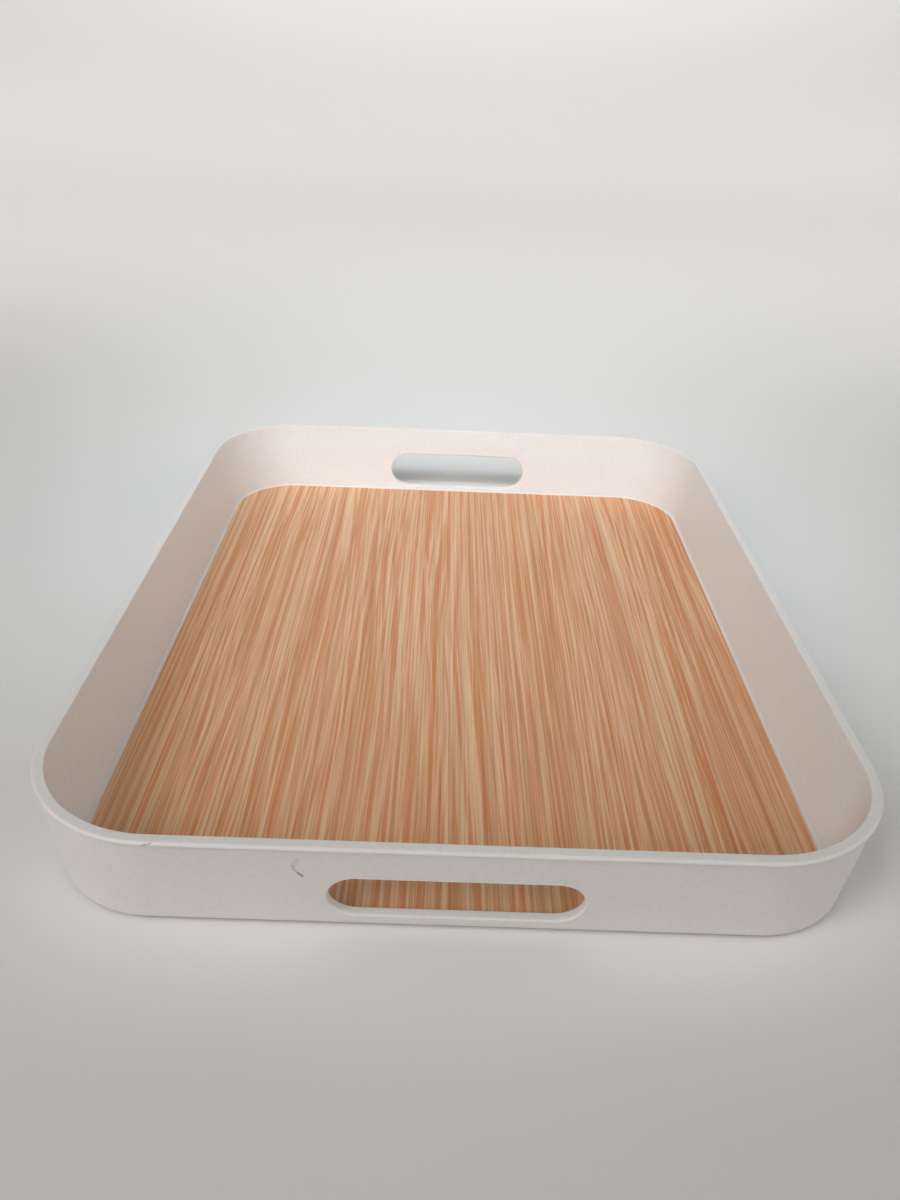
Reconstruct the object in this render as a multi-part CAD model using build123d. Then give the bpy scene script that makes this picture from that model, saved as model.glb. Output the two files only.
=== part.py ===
"""Serving tray with two hand slots and a wood-effect floor.

A one-piece off-white moulding carries a thin wood-effect laminate, bonded into a shallow
recess in its floor, and stands on four small non-slip pads pressed into its base.

Frame, in millimetres: the origin is on the standing surface under the tray's centre, +Z is
up, +Y runs along the tray's length and +X across its width. The hand slots are in the walls
at -Y, called the front, and at +Y, called the rear.
"""
import os

from build123d import *

# ---- tray, measured over the rim ----
LENGTH = 400.0
WIDTH = 310.0
HEIGHT = 44.5
RIM_CORNER_RADIUS = 52.0

# ---- heights above the standing surface ----
BASE_HEIGHT = 1.0
FLOOR_HEIGHT = 4.2

# ---- rim: a flat lip that stands out past the wall ----
RIM_WIDTH = 4.3
RIM_THICKNESS = 1.5
RIM_OVERHANG = 0.8
RIM_OUTER_TOP_RADIUS = 1.15
RIM_OUTER_BOTTOM_RADIUS = 0.25
RIM_INNER_EDGE_RADIUS = 0.5

# ---- flared wall; every inset is measured inwards from the rim's outer edge ----
BASE_INSET = 8.0
BASE_CORNER_RADIUS = 38.0
BASE_EDGE_RADIUS = 3.0
WALL_FOOT_INSET = 11.5
WALL_FOOT_CORNER_RADIUS = 36.5
COVE_RADIUS = 1.5

# ---- hand slots, with full round ends ----
SLOT_LENGTH = 89.0
SLOT_OPENING = 20.6
SLOT_BOTTOM_HEIGHT = 7.2
SLOT_EDGE_RADIUS = 0.7

# ---- wood-effect panel and the film that bonds it ----
PANEL_INSET = 13.0
PANEL_CORNER_RADIUS = 35.0
PANEL_THICKNESS = 0.8
PANEL_GAP = 0.1
FILM_THICKNESS = 0.2
FILM_SETBACK = 1.0

# ---- non-slip pads ----
PAD_DIAMETER = 14.0
PAD_SOCKET_DEPTH = 0.8
PAD_EDGE_RADIUS = 0.3
PAD_INSET = 42.0

CUT_ALLOWANCE = 1.0


def outline(inset, corner_radius, height):
    """Rounded rectangle, set in from the rim's outer edge, lying flat at a height."""
    sketch = RectangleRounded(WIDTH - 2 * inset, LENGTH - 2 * inset, corner_radius)
    return Plane.XY.offset(height) * sketch


def slab(inset, corner_radius, bottom, thickness):
    """Flat plate with rounded corners and upright sides."""
    return extrude(outline(inset, corner_radius, bottom), amount=thickness)


def outer_body():
    """Solid flared block under the rim, with its bottom edge rounded."""
    base = outline(BASE_INSET, BASE_CORNER_RADIUS, BASE_HEIGHT)
    under_rim = outline(RIM_OVERHANG, RIM_CORNER_RADIUS - RIM_OVERHANG, HEIGHT - RIM_THICKNESS)
    block = loft([base.face(), under_rim.face()], ruled=True)
    return fillet(block.faces().sort_by(Axis.Z)[0].edges(), BASE_EDGE_RADIUS)


def rim():
    """Flat lip with a rounded outer edge, drawn as a full plate."""
    plate = slab(0, RIM_CORNER_RADIUS, HEIGHT - RIM_THICKNESS, RIM_THICKNESS)
    plate = fillet(plate.faces().sort_by(Axis.Z)[-1].edges(), RIM_OUTER_TOP_RADIUS)
    return fillet(plate.faces().sort_by(Axis.Z)[0].edges(), RIM_OUTER_BOTTOM_RADIUS)


def cavity():
    """Space inside the walls, carried a little above the rim, with the cove at its foot."""
    foot_to_rim = HEIGHT - FLOOR_HEIGHT
    rise = (foot_to_rim + CUT_ALLOWANCE) / foot_to_rim
    mouth_radius = RIM_CORNER_RADIUS - RIM_WIDTH
    top_inset = WALL_FOOT_INSET + rise * (RIM_WIDTH - WALL_FOOT_INSET)
    top_radius = WALL_FOOT_CORNER_RADIUS + rise * (mouth_radius - WALL_FOOT_CORNER_RADIUS)
    foot = outline(WALL_FOOT_INSET, WALL_FOOT_CORNER_RADIUS, FLOOR_HEIGHT)
    top = outline(top_inset, top_radius, HEIGHT + CUT_ALLOWANCE)
    space = loft([foot.face(), top.face()], ruled=True)
    return fillet(space.faces().sort_by(Axis.Z)[0].edges(), COVE_RADIUS)


def panel_recess():
    """Shallow recess that takes the film and the panel, flush with the floor."""
    depth = PANEL_THICKNESS + FILM_THICKNESS
    edge_inset = PANEL_INSET - PANEL_GAP
    edge_radius = PANEL_CORNER_RADIUS + PANEL_GAP
    return slab(edge_inset, edge_radius, FLOOR_HEIGHT - depth, depth + CUT_ALLOWANCE)


def slot_cutter():
    """One bar of the slot's section, long enough to pass through both end walls."""
    section = SlotOverall(SLOT_LENGTH, SLOT_OPENING)
    middle_height = SLOT_BOTTOM_HEIGHT + SLOT_OPENING / 2
    upright = Plane.XZ * Pos(0, middle_height) * section
    return extrude(upright, amount=LENGTH / 2 + CUT_ALLOWANCE, both=True)


def pad_places():
    """Name and centre of each pad, one near each corner of the base."""
    reach_x = WIDTH / 2 - PAD_INSET
    reach_y = LENGTH / 2 - PAD_INSET
    return {
        f"foot_pad_{end}_{side}": (sign_x * reach_x, sign_y * reach_y)
        for end, sign_y in (("front", -1), ("rear", 1))
        for side, sign_x in (("left", -1), ("right", 1))
    }


def disc(x, y, bottom, thickness):
    """Round plate of the pad's diameter."""
    circle = Plane.XY.offset(bottom) * Pos(x, y) * Circle(PAD_DIAMETER / 2)
    return extrude(circle, amount=thickness)


def foot_pad(x, y):
    """Pad that fills its socket and stands out below the base."""
    pad = disc(x, y, 0, BASE_HEIGHT + PAD_SOCKET_DEPTH)
    return fillet(pad.edges().sort_by(Axis.Z)[0], PAD_EDGE_RADIUS)


def slot_mouth_edges(shell):
    """Edges where the hand slots meet the inner and outer faces of the end walls."""
    wall_faces = [face for face in shell.faces() if abs(face.normal_at().Y) > 0.9]
    return [edge for face in wall_faces for wire in face.inner_wires() for edge in wire.edges()]


def tray_shell():
    """One-piece moulding: floor, flared wall, rim, hand slots and sockets."""
    shell = outer_body() + rim() - cavity() - panel_recess() - slot_cutter()
    for x, y in pad_places().values():
        shell -= disc(x, y, BASE_HEIGHT, PAD_SOCKET_DEPTH)
    shell = fillet(slot_mouth_edges(shell), SLOT_EDGE_RADIUS)
    rim_top = shell.faces().filter_by(Axis.Z).sort_by(Axis.Z)[-1]
    return fillet(rim_top.inner_wires()[0].edges(), RIM_INNER_EDGE_RADIUS)


def wood_effect_panel():
    """Thin laminate whose top is level with the tray's floor."""
    return slab(PANEL_INSET, PANEL_CORNER_RADIUS, FLOOR_HEIGHT - PANEL_THICKNESS, PANEL_THICKNESS)


def panel_adhesive_film():
    """Bonding film between the panel and the recess, set back from the panel's edge."""
    bottom = FLOOR_HEIGHT - PANEL_THICKNESS - FILM_THICKNESS
    inset = PANEL_INSET + FILM_SETBACK
    return slab(inset, PANEL_CORNER_RADIUS - FILM_SETBACK, bottom, FILM_THICKNESS)


def main():
    nodes = {
        "tray_shell": tray_shell(),
        "wood_effect_panel": wood_effect_panel(),
        "panel_adhesive_film": panel_adhesive_film(),
    }
    for name, (x, y) in pad_places().items():
        nodes[name] = foot_pad(x, y)
    os.makedirs("parts", exist_ok=True)
    for name, shape in nodes.items():
        export_step(shape, f"parts/{name}.step")


main()
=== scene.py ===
"""Looks of the serving tray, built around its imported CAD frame.

Everything is in metres in the row frame: origin on the standing surface under the tray's
centre, +Z up, +Y along the tray from the front hand slot to the rear one, +X across it.
"""

from math import cos, pi, radians, sin

import bpy
from mathutils import Matrix, Vector


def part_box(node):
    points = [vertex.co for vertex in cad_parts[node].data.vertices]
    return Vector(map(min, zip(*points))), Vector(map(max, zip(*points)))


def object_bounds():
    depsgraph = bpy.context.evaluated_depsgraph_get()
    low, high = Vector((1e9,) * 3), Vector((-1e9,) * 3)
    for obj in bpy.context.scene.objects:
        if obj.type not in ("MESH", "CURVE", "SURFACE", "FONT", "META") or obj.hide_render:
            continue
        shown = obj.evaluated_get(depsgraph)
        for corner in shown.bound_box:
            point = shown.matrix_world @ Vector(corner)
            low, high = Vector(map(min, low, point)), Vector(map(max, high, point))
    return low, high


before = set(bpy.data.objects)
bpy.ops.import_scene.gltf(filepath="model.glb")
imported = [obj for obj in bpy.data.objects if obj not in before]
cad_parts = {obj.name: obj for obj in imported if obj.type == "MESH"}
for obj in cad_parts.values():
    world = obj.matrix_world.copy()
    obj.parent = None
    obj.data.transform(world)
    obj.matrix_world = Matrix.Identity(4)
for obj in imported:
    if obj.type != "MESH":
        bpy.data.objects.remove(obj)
cad_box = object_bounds()

MM = 0.001

# ---- where the tray's front, rim and floor are ----
FRONT = cad_box[0][1]
RIM_LEVEL = cad_box[1][2]
FLOOR_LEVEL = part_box("wood_effect_panel")[1][2]

# ---- studio: a round floor that sweeps up into a wall ----
STUDIO_FLOOR_RADIUS = 1.5
STUDIO_SWEEP_RADIUS = 2.6
STUDIO_WALL_TOP = 3.5
STUDIO_SWEEP_STEPS = 24
STUDIO_SIDES = 96
AMBIENT_STRENGTH = 0.005

# ---- camera: angles in degrees, focal length and sensor in millimetres ----
CAMERA_PLACE = (-0.0103, -0.4392, 0.2757)
CAMERA_DOWN = 29.70
CAMERA_TURN = -0.84
CAMERA_ROLL = 2.50
CAMERA_LENS = 29.74
CAMERA_SENSOR = 36.0
CAMERA_CLIP_START = 0.01


# ---------------------------------------------------------------- node graph helpers
def srgb(red, green, blue):
    """Linear colour with alpha from 0 to 255 sRGB values."""
    def linear(value):
        value /= 255
        return value / 12.92 if value <= 0.04045 else ((value + 0.055) / 1.055) ** 2.4
    return (linear(red), linear(green), linear(blue), 1.0)


class Graph:
    """Short calls for building one material's node tree."""

    SHADER_SOCKETS = {
        "colour": "Base Color",
        "roughness": "Roughness",
        "normal": "Normal",
        "specular": "Specular IOR Level",
    }

    def __init__(self, name):
        self.material = bpy.data.materials.new(name)
        self.material.use_nodes = True
        self.nodes = self.material.node_tree.nodes
        self.links = self.material.node_tree.links
        self.shader = self.nodes["Principled BSDF"]

    def set(self, socket, value):
        """Links a socket, or sets it where value is a plain number, vector or colour."""
        if isinstance(value, bpy.types.NodeSocket):
            self.links.new(value, socket)
        elif value is not None:
            socket.default_value = value

    def place(self):
        """Position on the object, in metres in the row frame."""
        return self.nodes.new("ShaderNodeTexCoord").outputs["Object"]

    def facing(self):
        """Direction that the surface faces."""
        return self.nodes.new("ShaderNodeNewGeometry").outputs["Normal"]

    def split(self, vector):
        """X, Y and Z of a vector."""
        node = self.nodes.new("ShaderNodeSeparateXYZ")
        self.set(node.inputs[0], vector)
        return node.outputs

    def join(self, x, y, z):
        """Vector from its X, Y and Z."""
        node = self.nodes.new("ShaderNodeCombineXYZ")
        for socket, value in zip(node.inputs, (x, y, z)):
            self.set(socket, value)
        return node.outputs[0]

    def fit(self, vector, size, turn, shift):
        """Coordinates for a texture whose unit cell has this size, turned about Z in degrees."""
        node = self.nodes.new("ShaderNodeMapping")
        node.vector_type = "TEXTURE"
        self.set(node.inputs["Vector"], vector)
        node.inputs["Location"].default_value = (shift, shift, shift)
        node.inputs["Rotation"].default_value = (0, 0, radians(turn))
        node.inputs["Scale"].default_value = size
        return node.outputs[0]

    def noise(self, vector, scale, detail, roughness=0.5):
        """Smooth noise around 0.5, with scale features in one unit of the vector."""
        node = self.nodes.new("ShaderNodeTexNoise")
        self.set(node.inputs["Vector"], vector)
        node.inputs["Scale"].default_value = scale
        node.inputs["Detail"].default_value = detail
        node.inputs["Roughness"].default_value = roughness
        return node.outputs["Fac"]

    def math(self, operation, a, b):
        """One operation on two numbers."""
        node = self.nodes.new("ShaderNodeMath")
        node.operation = operation
        for socket, value in zip(node.inputs, (a, b)):
            self.set(socket, value)
        return node.outputs[0]

    def times(self, a, b):
        """Product of two numbers."""
        return self.math("MULTIPLY", a, b)

    def vector_math(self, operation, a, b=None, scale=None):
        """One operation on one or two vectors, or on a vector and a scale."""
        node = self.nodes.new("ShaderNodeVectorMath")
        node.operation = operation
        for socket, value in zip(node.inputs, (a, b, None, scale)):
            self.set(socket, value)
        return node.outputs["Value" if operation in ("DOT_PRODUCT", "LENGTH") else "Vector"]

    def smooth(self, value, low, high):
        """0 below low, 1 above high, and a soft step between; low may be above high."""
        node = self.nodes.new("ShaderNodeMapRange")
        node.interpolation_type = "SMOOTHSTEP"
        self.set(node.inputs["Value"], value)
        self.set(node.inputs["From Min"], low)
        self.set(node.inputs["From Max"], high)
        return node.outputs["Result"]

    def spread(self, value, low, high):
        """A 0 to 1 value, spread over low to high."""
        node = self.nodes.new("ShaderNodeMapRange")
        self.set(node.inputs["Value"], value)
        node.inputs["To Min"].default_value = low
        node.inputs["To Max"].default_value = high
        return node.outputs["Result"]

    def stroke(self, flat, start, end, half_width):
        """1 along the straight line between two points of a flat vector, fading out sideways."""
        run = Vector(end) - Vector(start)
        offset = self.vector_math("SUBTRACT", flat, Vector(start))
        along = self.vector_math("DOT_PRODUCT", offset, run / run.length_squared)
        along = self.math("MINIMUM", self.math("MAXIMUM", along, 0.0), 1.0)
        foot = self.vector_math("SCALE", run, scale=along)
        distance = self.vector_math("LENGTH", self.vector_math("SUBTRACT", offset, foot))
        return self.smooth(distance, half_width, 0.3 * half_width)

    def mix(self, factor, a, b):
        """Colour between a and b."""
        node = self.nodes.new("ShaderNodeMix")
        node.data_type = "RGBA"
        colours = [socket for socket in node.inputs if socket.type == "RGBA"]
        self.set(node.inputs["Factor"], factor)
        self.set(colours[0], a)
        self.set(colours[1], b)
        return next(socket for socket in node.outputs if socket.type == "RGBA")

    def bump(self, height, depth, normal=None):
        """Bump of a 0 to 1 height, depth metres deep."""
        node = self.nodes.new("ShaderNodeBump")
        node.inputs["Strength"].default_value = 1.0
        node.inputs["Distance"].default_value = depth
        self.set(node.inputs["Height"], height)
        self.set(node.inputs["Normal"], normal)
        return node.outputs[0]

    def finish(self, **sockets):
        """Sets or links the shader's own sockets and returns the material."""
        for name, value in sockets.items():
            self.set(self.shader.inputs[self.SHADER_SOCKETS[name]], value)
        return self.material


# ---------------------------------------------------------------- materials
def painted_cove_shade(g, place):
    """Mask of painted shade: a slightly greyer band on upward-facing surfaces at the foot of the
    inner walls, standing in for the corner getting less light.
    """
    upward = g.smooth(g.split(g.facing())["Z"], 0.0, 0.1)
    low = g.smooth(g.split(place)["Z"], FLOOR_LEVEL + 1.9 * MM, FLOOR_LEVEL + 0.9 * MM)
    return g.times(upward, low)


def wear_marks(g, place):
    """Masks and tints of a scuff on the front wall, a nick in the rim and two faint stains."""
    x, y, z = g.split(place)
    flat = g.join(x, 0.0, z)
    on_wall = g.smooth(y, FRONT + 5.0 * MM, FRONT + 4.0 * MM)
    on_rim = g.smooth(y, FRONT + 1.1 * MM, FRONT + 0.7 * MM)
    patchy = g.times(g.smooth(g.noise(place, 900, 2), 0.40, 0.60), 0.40)
    under_rim = RIM_LEVEL / MM - 1.7
    nick = srgb(146, 140, 136)
    stain = srgb(198, 152, 142)
    marks = []
    # two ends, across and up, and half the width, all in millimetres; strength, where, tint
    for start, end, half_width, strength, where, tint in (
        ((-53.4, 37.8), (-55.1, 34.3), 1.30, 0.24, on_wall, srgb(176, 160, 160)),
        ((-55.1, 34.3), (-54.8, 32.1), 0.60, 0.40, on_wall, srgb(178, 142, 132)),
        ((-54.8, 32.1), (-53.5, 30.5), 0.50, 0.55, on_wall, srgb(166, 126, 114)),
        ((-53.5, 30.5), (-52.1, 28.7), 0.60, 0.85, on_wall, srgb(124, 96, 84)),
        ((-103.6, 43.2), (-102.4, 43.5), 0.70, 0.40, on_rim, nick),
        ((-102.8, 43.5), (-100.4, 44.1), 0.45, 0.50, on_rim, nick),
        ((-26.0, under_rim), (-19.0, under_rim), 1.00, patchy, on_wall, stain),
        ((0.5, under_rim), (7.0, under_rim), 1.00, patchy, on_wall, stain),
    ):
        ends = [(across * MM, 0.0, up * MM) for across, up in (start, end)]
        mark = g.times(g.stroke(flat, *ends, half_width * MM), strength)
        marks.append((g.times(mark, where), tint))
    return marks


def melamine():
    """Off-white moulded melamine: fine orange peel, faint mottling, sparse specks."""
    g = Graph("melamine")
    place = g.place()
    colour = g.mix(g.noise(place, 16, 3), srgb(229, 224, 219), srgb(235, 230, 225))
    mottling = g.smooth(g.noise(place, 520, 3, 0.6), 0.40, 0.70)
    colour = g.mix(g.times(mottling, 0.30), colour, srgb(219, 213, 207))
    specks = g.smooth(g.noise(place, 1400, 1), 0.72, 0.78)
    colour = g.mix(g.times(specks, 0.40), colour, srgb(186, 172, 160))
    # painted shade: the cove at the foot of the inner walls is greyed, as if in the corner's
    # shadow
    colour = g.mix(painted_cove_shade(g, place), colour, srgb(220, 213, 206))
    for mask, tint in wear_marks(g, place):
        colour = g.mix(mask, colour, tint)
    roughness = g.spread(g.noise(place, 60, 4), 0.40, 0.54)
    peel = g.bump(g.noise(place, 260, 2), 0.070 * MM)
    fine = g.bump(g.noise(place, 2200, 2), 0.014 * MM, peel)
    return g.finish(colour=colour, roughness=roughness, normal=fine, specular=0.45)


def grain(g, place, width, length, turn, seed):
    """Noise drawn out along the grain, around 0.5; width and length in millimetres."""
    return g.noise(g.fit(place, (width * MM, length * MM, 1), turn, seed), 1, 0.8)


def wood_effect():
    """Straight-grained wood print: tan with cream, terracotta and greyish streaks."""
    g = Graph("wood_effect")
    place = g.place()
    tan = srgb(216, 152, 105)
    cream = srgb(232, 197, 158)
    terracotta = srgb(213, 128, 76)
    pink = srgb(223, 159, 121)
    olive = srgb(197, 151, 107)
    brown = srgb(182, 115, 71)
    everywhere = 1.0
    fans_left = g.smooth(grain(g, place, 30, 160, 0.0, 21.3), 0.50, 0.60)
    fans_right = g.smooth(grain(g, place, 28, 170, 0.0, 33.7), 0.50, 0.60)
    colour = tan
    # width and length in millimetres, turn in degrees, seed, soft step, tint, strength, where
    for width, length, turn, seed, low, high, tint, strength, where in (
        (36.0, 300, 0.0, 0.1, 0.40, 0.62, pink, 0.25, everywhere),
        (15.0, 400, 0.6, 1.3, 0.50, 0.66, cream, 0.14, everywhere),
        (11.0, 450, -0.5, 2.7, 0.50, 0.68, terracotta, 0.16, everywhere),
        (4.0, 500, -0.4, 3.1, 0.50, 0.62, cream, 0.24, everywhere),
        (3.4, 500, 0.3, 4.9, 0.52, 0.62, terracotta, 0.32, everywhere),
        (2.3, 600, 0.5, 5.3, 0.53, 0.60, cream, 0.52, everywhere),
        (2.6, 450, 0.0, 6.1, 0.54, 0.63, olive, 0.40, everywhere),
        (2.0, 600, -0.5, 7.7, 0.52, 0.60, terracotta, 0.52, everywhere),
        (1.9, 600, 0.2, 8.3, 0.53, 0.60, cream, 0.50, everywhere),
        (1.7, 500, -0.1, 17.9, 0.52, 0.60, terracotta, 0.50, everywhere),
        (2.0, 400, 2.5, 12.3, 0.51, 0.58, cream, 0.60, fans_left),
        (2.1, 400, 3.0, 13.9, 0.52, 0.59, terracotta, 0.60, fans_left),
        (2.0, 400, -2.3, 15.1, 0.51, 0.58, cream, 0.60, fans_right),
        (2.1, 400, -2.8, 16.3, 0.52, 0.59, terracotta, 0.60, fans_right),
        (1.4, 400, -0.3, 9.9, 0.53, 0.60, cream, 0.50, everywhere),
        (1.3, 300, 0.2, 18.7, 0.54, 0.62, olive, 0.40, everywhere),
        (1.1, 250, 0.1, 10.7, 0.54, 0.62, brown, 0.34, everywhere),
        (0.7, 30, 0.0, 11.9, 0.30, 0.80, brown, 0.24, everywhere),
        (0.8, 90, 0.2, 21.3, 0.55, 0.70, cream, 0.45, everywhere),
    ):
        streaks = g.smooth(grain(g, place, width, length, turn, seed), low, high)
        mask = g.times(g.times(streaks, strength), where)
        colour = g.mix(mask, colour, tint)
    roughness = g.spread(g.noise(place, 90, 3), 0.42, 0.55)
    fibres = g.bump(grain(g, place, 0.7, 30, 0.0, 11.9), 0.020 * MM)
    return g.finish(colour=colour, roughness=roughness, normal=fibres, specular=0.25)


def silicone():
    """Soft grey silicone of the non-slip pads."""
    g = Graph("silicone")
    place = g.place()
    colour = g.mix(g.noise(place, 300, 3), srgb(176, 174, 170), srgb(190, 188, 184))
    normal = g.bump(g.noise(place, 1800, 2), 0.030 * MM)
    return g.finish(colour=colour, roughness=0.68, normal=normal, specular=0.3)


def bonding_film():
    """Cured adhesive film, hidden under the panel."""
    g = Graph("bonding_film")
    colour = g.mix(g.noise(g.place(), 120, 2), srgb(214, 204, 178), srgb(224, 214, 190))
    return g.finish(colour=colour, roughness=0.5)


def studio_floor():
    """Plain pale floor."""
    g = Graph("studio_floor")
    return g.finish(colour=srgb(233, 230, 225), roughness=0.9, specular=0.1)


def paint(name, material):
    """Gives a CAD node one material."""
    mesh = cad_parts[name].data
    mesh.materials.clear()
    mesh.materials.append(material)


def paint_tray():
    """Gives every CAD node the material that it is made of."""
    paint("tray_shell", melamine())
    paint("wood_effect_panel", wood_effect())
    paint("panel_adhesive_film", bonding_film())
    pad_material = silicone()
    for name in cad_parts:
        if name.startswith("foot_pad"):
            paint(name, pad_material)


# ---------------------------------------------------------------- studio
def backdrop():
    """Round floor that sweeps up into a wall all round the tray."""
    profile = [(STUDIO_FLOOR_RADIUS, 0.0)]
    for step in range(1, STUDIO_SWEEP_STEPS + 1):
        angle = pi / 2 * step / STUDIO_SWEEP_STEPS
        radius = STUDIO_FLOOR_RADIUS + STUDIO_SWEEP_RADIUS * sin(angle)
        profile.append((radius, STUDIO_SWEEP_RADIUS * (1 - cos(angle))))
    profile.append((STUDIO_FLOOR_RADIUS + STUDIO_SWEEP_RADIUS, STUDIO_WALL_TOP))
    turns = [2 * pi * side / STUDIO_SIDES for side in range(STUDIO_SIDES)]
    vertices = [(r * cos(turn), r * sin(turn), z) for r, z in profile for turn in turns]
    faces = [tuple(range(STUDIO_SIDES))]
    for ring in range(len(profile) - 1):
        inner = ring * STUDIO_SIDES
        outer = inner + STUDIO_SIDES
        for side in range(STUDIO_SIDES):
            after = (side + 1) % STUDIO_SIDES
            faces.append((inner + side, outer + side, outer + after, inner + after))
    mesh = bpy.data.meshes.new("studio_backdrop")
    mesh.from_pydata(vertices, [], faces)
    mesh.polygons.foreach_set("use_smooth", [True] * len(faces))
    mesh.materials.append(studio_floor())
    sheet = bpy.data.objects.new("studio_backdrop", mesh)
    bpy.context.scene.collection.objects.link(sheet)


def area_light(name, place, target, size, power, spread=180.0, colour=(1.0, 1.0, 1.0)):
    """Rectangular light aimed at a point; size is its width and depth, spread is in degrees."""
    light = bpy.data.lights.new(name, "AREA")
    light.shape = "RECTANGLE"
    light.size, light.size_y = size
    light.energy = power
    light.spread = radians(spread)
    light.color = colour
    lamp = bpy.data.objects.new(name, light)
    lamp.location = place
    lamp.rotation_euler = (Vector(target) - Vector(place)).to_track_quat("-Z", "Y").to_euler()
    bpy.context.scene.collection.objects.link(lamp)


def tray_lights():
    """Broad key from the front left, fills from the right, and two small cool accents."""
    middle = (0, 0.05, 0)
    rear = (0, 0.25, 0)
    right_of_rear = (0.05, 0.25, 0)
    cool = (0.82, 0.91, 1.0)
    area_light("key", (-0.8, -0.9, 0.9), middle, (0.7, 0.7), 8.8)
    area_light("fill_right", (0.8, -0.9, 0.9), middle, (0.7, 0.7), 3.2)
    area_light("fill_right_low", (1.3, 0.0, 0.4), middle, (0.6, 0.6), 2.6)
    area_light("accent_high", (-0.25, -0.35, 0.9), rear, (0.3, 0.3), 0.48, 50.0, cool)
    area_light("accent_near", (0.15, -0.25, 0.55), right_of_rear, (0.25, 0.25), 0.19, 70.0, cool)


def backdrop_lights():
    """Wide lights for the floor behind the tray and for the wall on each side."""
    pale = (0.95, 0.975, 1.0)
    area_light("floor_behind", (0, 1.0, 1.2), (0, 1.3, 0), (3.6, 1.6), 12.8, 66.0, pale)
    for name, across, along, power in (
        ("backdrop_light", 0, 1, 31.0),
        ("front_backdrop_light", 0, -1, 5.0),
        ("left_backdrop_light", -1, 0, 5.0),
        ("right_backdrop_light", 1, 0, 5.0),
    ):
        place = (1.6 * across, 1.6 * along, 1.8)
        target = (3.4 * across, 3.4 * along, 0.8)
        area_light(name, place, target, (3.6, 1.0), power, 120.0, pale)


def ambient():
    """Very weak even light from all round."""
    world = bpy.data.worlds.new("studio_ambient")
    world.use_nodes = True
    background = world.node_tree.nodes["Background"]
    background.inputs["Color"].default_value = (1.0, 1.0, 1.0, 1.0)
    background.inputs["Strength"].default_value = AMBIENT_STRENGTH
    bpy.context.scene.world = world


def camera():
    """Camera in front of the tray, looking down into it."""
    data = bpy.data.cameras.new("camera")
    data.lens = CAMERA_LENS
    data.sensor_width = CAMERA_SENSOR
    data.clip_start = CAMERA_CLIP_START
    eye = bpy.data.objects.new("camera", data)
    turn = Matrix.Rotation(radians(CAMERA_TURN), 4, "Z")
    tilt = Matrix.Rotation(radians(90 - CAMERA_DOWN), 4, "X")
    roll = Matrix.Rotation(radians(CAMERA_ROLL), 4, "Z")
    eye.matrix_world = Matrix.Translation(CAMERA_PLACE) @ turn @ tilt @ roll
    bpy.context.scene.collection.objects.link(eye)
    bpy.context.scene.camera = eye


paint_tray()
backdrop()
tray_lights()
backdrop_lights()
ambient()
camera()
bpy.context.scene.view_settings.view_transform = "Standard"
